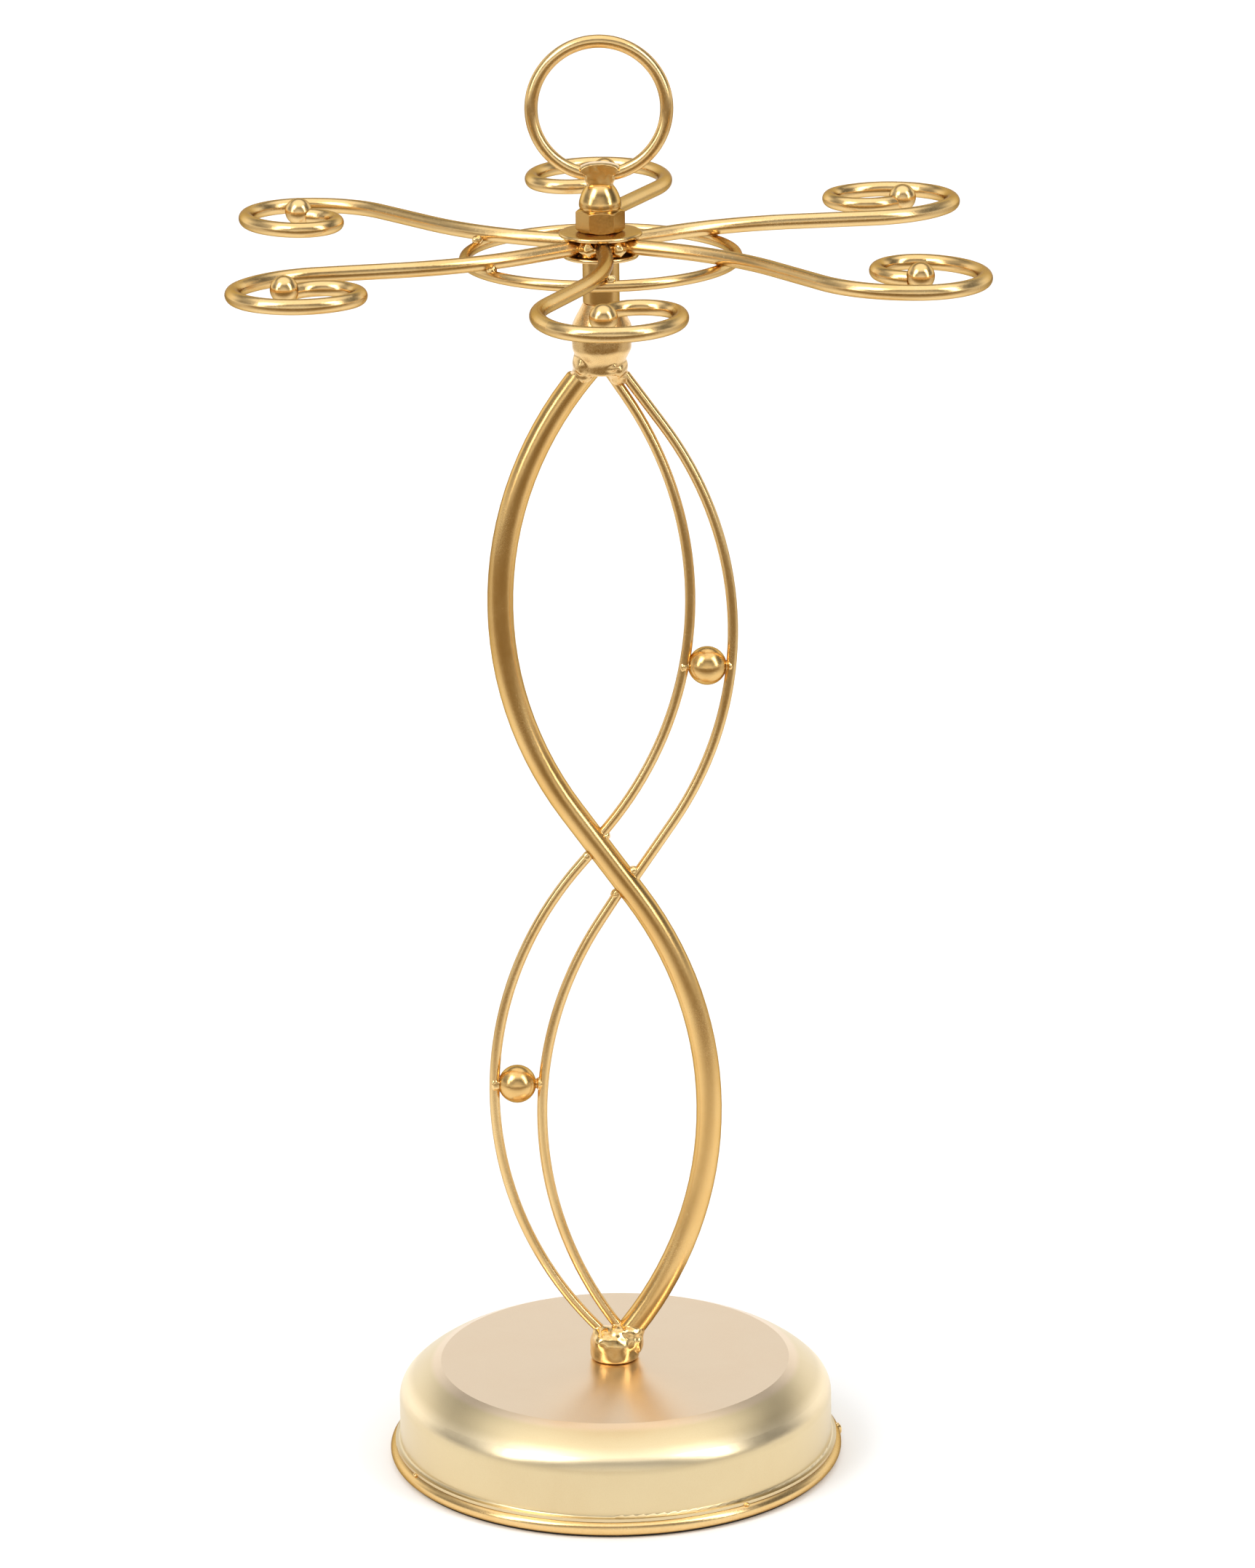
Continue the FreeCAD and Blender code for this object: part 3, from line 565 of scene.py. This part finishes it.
def dabs(name, node, body, neighbours, swell, keep=None, extra=(), ripple=0.00006, flat=None):
    """Small dabs of weld, one for each lump of the CAD node, run out onto their neighbours.

    extra is further lumps, and flat the furthest that the dabs may reach along y, either way.
    """
    parts = list(extra)
    for number, (centre, half) in enumerate(islands(node)):
        parts.append(lump(centre, half * swell, 20.0 + 3.1 * number, 0.25))
        reach = half + DAB_MARGIN
        low, high = centre - reach, centre + reach
        for other in neighbours:
            if touches(other, low, high):
                parts.append(slice_of(other, low, high, DAB_SHRINK))
    skin = melt(parts, DAB_VOXEL, smooth=14, ripple=ripple, keep=keep)
    if flat:
        for vertex in skin.vertices:
            vertex.co.y = min(max(vertex.co.y, -flat), flat)
    add_piece(name, skin, WELD, body, [node])


def polar(radius, degrees, height):
    """A place by its radius and height in millimetres and its bearing in degrees."""
    angle = math.radians(degrees)
    return at(radius * math.cos(angle), radius * math.sin(angle), height)


DAB_MARGIN = Vector((0.0008, 0.0008, 0.0008))  # metres of its neighbours that a dab runs onto
ARMS = [f"arm_{number}" for number in range(1, 7)]
STEM_WIRES = ["lower_outer_wire", "lower_inner_wire", "upper_inner_wire", "upper_outer_wire"]


def hub_weld():
    """The weld of the six arms to the hub, which stays between its washers."""
    low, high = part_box("hub_welds")
    dabs("weld_hub", "hub_welds", "carousel", ARMS + ["hub"], 1.3, keep=(low.z, high.z))


def bead_weld():
    """The weld at the bead's joint, and three tacks along the bead."""
    tacks = [
        lump(polar(70.3, 206, 5.1), at(1.0, 1.3, 0.5), 61.0, 0.3),
        lump(polar(70.4, 305, 5.1), at(1.2, 1.0, 0.45), 62.0, 0.3),
        lump(polar(70.4, 85, 5.1), at(1.3, 0.9, 0.5), 63.0, 0.3),
    ]
    dabs("weld_bead", "bead_weld", "stand", ["base_bead"], 1.05, extra=tacks)


def handle_weld():
    """The thin web of weld that fills the handle's foot above the domed nut."""
    crown = round_size(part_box("cap_nut"))[2]
    web = [
        lump(at(0.0, 0.0, crown + 3.8), at(6.7, 4.6, 2.3), 71.0, 0.03),
        lump(at(0.0, 0.0, crown + 1.2), at(4.8, 4.3, 3.2), 72.0, 0.03),
        lump(at(0.0, 0.0, crown - 0.9), at(4.2, 4.0, 2.4), 73.0, 0.03),
    ]
    dabs(
        "weld_handle", "handle_weld", "handle", ["handle_ring", "cap_nut"], 0.9,
        extra=web, ripple=0.00005, flat=0.0025,
    )


lower_joint()
upper_joint()
dabs("weld_crossings", "crossing_welds", "stand", ["stem_tube"] + STEM_WIRES, 0.8)
dabs("weld_stem_balls", "ball_welds", "stand", ["lower_ball", "upper_ball"] + STEM_WIRES, 0.95)
hub_weld()
dabs("weld_ring", "ring_welds", "carousel", ARMS + ["support_ring"], 0.85)
bead_weld()
handle_weld()


# -------------------------------------------------------- turned plain pieces

WASHER_BORE, PILLAR_BORE, NUT_BORE = 4.2, 4.1, 4.08  # radii in millimetres


def turned_piece(node, outline, finish, body):
    """Puts a turned shape in the place of one CAD node."""
    add_piece(node + "_turned", turned(outline), finish, body, [node])


def washer(node, body, dish):
    """A pressed washer: rounded on its upper rim, a burr on the lower, slightly dished."""
    radius, foot, top = round_size(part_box(node))
    outline = mm(
        (WASHER_BORE, foot, 0.15), (radius - 0.35, foot, 0.2), (radius, foot + 0.45, 0.3),
        (radius - 0.1, top - dish, 0.5), (radius - 1.6, top - 0.02, 0.6), (WASHER_BORE, top, 0.15),
    )
    turned_piece(node, outline, BRIGHT, body)


def pillar():
    """The plain sleeve between the stem's head and the lower washer."""
    radius, foot, top = round_size(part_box("pillar"))
    outline = mm(
        (PILLAR_BORE, foot, 0), (radius, foot, 0.2), (radius, top, 0.4), (PILLAR_BORE, top, 0)
    )
    turned_piece("pillar", outline, SATIN, "stand")


def chamfer(first, last, rise, steps=6):
    """Corners in even steps from a (radius, height) to a last radius, higher by the rise."""
    radius, height = first
    return [
        (radius + (last - radius) * step / steps, height + rise * step / steps, 0)
        for step in range(steps + 1)
    ]


def domed_nut():
    """The domed nut: a hexagon with its corners turned off under a bell-shaped cap."""
    _, foot, top = round_size(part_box("cap_nut"))
    corners = (vertex.co.xy for vertex in NODES["cap_nut"].data.vertices)
    corner = max(corners, key=lambda place: place.length)
    first_corner = math.atan2(corner.y, corner.x)
    sixth = math.tau / 6
    apothem = corner.length * math.cos(sixth / 2)

    def hexagon(angle):
        return apothem / math.cos((angle - first_corner) % sixth - sixth / 2)

    outline = mm(
        (0, foot + 11.0, 0), (NUT_BORE, foot + 11.0, 0), (NUT_BORE, foot, 0),
        *chamfer((6.3, foot), 7.6, 0.75), *chamfer((7.6, foot + 5.9), 6.4, 0.65),
        (6.05, foot + 6.75, 0.1), (6.45, foot + 7.6, 0.4), (6.4, foot + 9.2, 0.7),
        (5.5, foot + 12.0, 1.4), (3.6, top - 0.2, 1.5), (0, top, 0),
    )
    shape = turned(outline, segments=120, side=hexagon, start=first_corner)
    nut = add_piece("nut_formed", shape, DARK, "handle", ["cap_nut"])
    soft = nut.modifiers.new("soft_edges", "BEVEL")
    soft.width = 0.00016
    soft.segments = 2
    soft.limit_method = "ANGLE"
    soft.angle_limit = math.radians(24)
    soft.harden_normals = True


washer("upper_washer", "clamp_washer", 0.22)
washer("lower_washer", "stand", 0.16)
pillar()
domed_nut()


# ------------------------------------------------------------ floor and light

FLOOR_RADIUS, CARD_RADIUS, CARD_HEIGHT = 14.0, 6.0, 0.0004  # metres


def stage_disc(name, radius, height, nodes):
    """A level matt disc that is part of the stage, not of the object."""
    mesh = bmesh.new()
    bmesh.ops.create_circle(mesh, cap_ends=True, segments=96, radius=radius)
    for vertex in mesh.verts:
        vertex.co.z = height
    disc = add_object(name, as_mesh(mesh, name))
    nodes.surface({"Roughness": 0.9, "Specular IOR Level": 0.0})
    paint(disc, nodes)
    return disc


def make_floor():
    """A pale floor that glows a little where it is far from the lamps."""
    nodes = new_material("pale_floor")
    reach = nodes.new("ShaderNodeVectorMath", operation="LENGTH")
    nodes.feed(reach.inputs[0], nodes.place)
    glow = nodes.combine(
        "MAXIMUM",
        nodes.spread(nodes.split(nodes.place)["Y"], 0.0, 0.30, -0.5, 1.8),
        nodes.spread(reach.outputs["Value"], 0.0, 0.34, 0.9, 2.4),
    )
    nodes.surface({
        "Base Color": (0.92, 0.92, 0.92),
        "Emission Color": (1.0, 1.0, 1.0),
        "Emission Strength": glow,
    })
    stage_disc("floor", FLOOR_RADIUS, 0.0, nodes)


def make_card():
    """A brown card before the object, seen only in the metal, which darkens the tubes' middles."""
    nodes = new_material("dark_card")
    across, depth, _ = nodes.split(nodes.place)
    near = nodes.spread(depth, 0.0, 1.0, -0.62, -0.05)
    aside = nodes.combine("ABSOLUTE", across, 0.0)
    aside = nodes.combine("SUBTRACT", aside, nodes.times(depth, 0.14))
    bare = nodes.times(near, nodes.spread(aside, 1.0, 0.50, 0.28, 0.85))
    nodes.surface({
        "Base Color": (0.20, 0.145, 0.075),
        "Alpha": nodes.combine("SUBTRACT", 1.0, bare),
    })
    card = stage_disc("card", CARD_RADIUS, CARD_HEIGHT, nodes)
    card.visible_camera = False
    card.visible_shadow = False
    card.visible_diffuse = False


AMBIENT = 0.13  # the strength that every direction has


def studio_surround():
    """A white room with a bright ceiling and backdrop, darker at mid height and at the sides."""
    world = bpy.data.worlds.new("studio")
    bpy.context.scene.world = world
    nodes = Nodes(world, "Background")
    side, depth, rise = nodes.split(nodes.coordinates.outputs["Generated"])
    before = nodes.spread(depth, 1.0, 0.0, 0.15, 0.60)
    ceiling = nodes.spread(rise, 0.0, 1.22, 0.66, 0.88)
    backdrop = nodes.times(
        nodes.spread(depth, 0.0, 1.06, 0.15, 0.60), nodes.spread(rise, 1.0, 0.0, 0.36, 0.66)
    )
    horizon = nodes.times(nodes.spread(rise, 0.60, 0.0, 0.02, 0.20), before)
    left = nodes.times(
        nodes.spread(side, 0.32, 0.0, -0.85, -0.35), nodes.spread(rise, 0.4, 1.0, 0.30, 0.60)
    )
    front = nodes.times(
        nodes.spread(depth, 0.66, 0.0, -0.97, -0.70), nodes.spread(rise, 1.0, 0.0, 0.5, 0.8)
    )
    light = nodes.add(nodes.add(ceiling, backdrop), nodes.add(horizon, left))
    light = nodes.add(nodes.add(light, front), AMBIENT)
    nodes.surface({"Color": (1.0, 1.0, 1.0), "Strength": light})


# name, place, size and power of each lamp, which all face LAMP_AIM
LAMPS = (
    ("key_left", (-1.6, -1.3, 2.2), (1.0, 1.3), 28.0),
    ("fill_right", (1.6, -1.0, 2.0), (0.6, 1.0), 14.0),
    ("strip_right", (1.74, -1.10, 0.95), (0.30, 0.8), 6.5),
    ("strip_left", (-1.74, -1.10, 0.95), (0.30, 0.8), 5.0),
)
LAMP_AIM = Vector((0.0, 0.0, 0.25))


def softbox(name, place, size, power):
    """A rectangular lamp; its power is in watts."""
    data = bpy.data.lights.new(name, "AREA")
    data.shape = "RECTANGLE"
    data.size, data.size_y = size
    data.energy = power
    lamp = add_object(name, data)
    lamp.location = place
    lamp.rotation_euler = (LAMP_AIM - Vector(place)).to_track_quat("-Z", "Y").to_euler()


CAMERA_PLACE = (0.0007, -1.92352, 0.80646)  # metres
CAMERA_PITCH, CAMERA_YAW, CAMERA_ROLL = 16.890, 0.163, -0.689  # degrees down, right and over
CAMERA_LENS, CAMERA_SENSOR = 148.83, 36.0  # millimetres


def make_camera():
    """A long lens, square on and 17 degrees above the level."""
    pitch, yaw, roll = (math.radians(angle) for angle in (CAMERA_PITCH, CAMERA_YAW, CAMERA_ROLL))
    forward = Vector(
        (math.sin(yaw) * math.cos(pitch), math.cos(yaw) * math.cos(pitch), -math.sin(pitch))
    )
    level = Vector((math.cos(yaw), -math.sin(yaw), 0.0))
    upright = level.cross(forward)
    right = math.cos(roll) * level + math.sin(roll) * upright
    up = math.cos(roll) * upright - math.sin(roll) * level
    data = bpy.data.cameras.new("camera")
    data.lens = CAMERA_LENS
    data.sensor_width = CAMERA_SENSOR
    data.clip_start = 0.05
    data.clip_end = 60.0
    camera = add_object("camera", data)
    turn = Matrix((right, up, -forward)).transposed().to_4x4()
    camera.matrix_world = Matrix.Translation(CAMERA_PLACE) @ turn
    bpy.context.scene.camera = camera


make_floor()
make_card()
studio_surround()
for lamp in LAMPS:
    softbox(*lamp)
make_camera()
bpy.context.scene.view_settings.view_transform = "Standard"
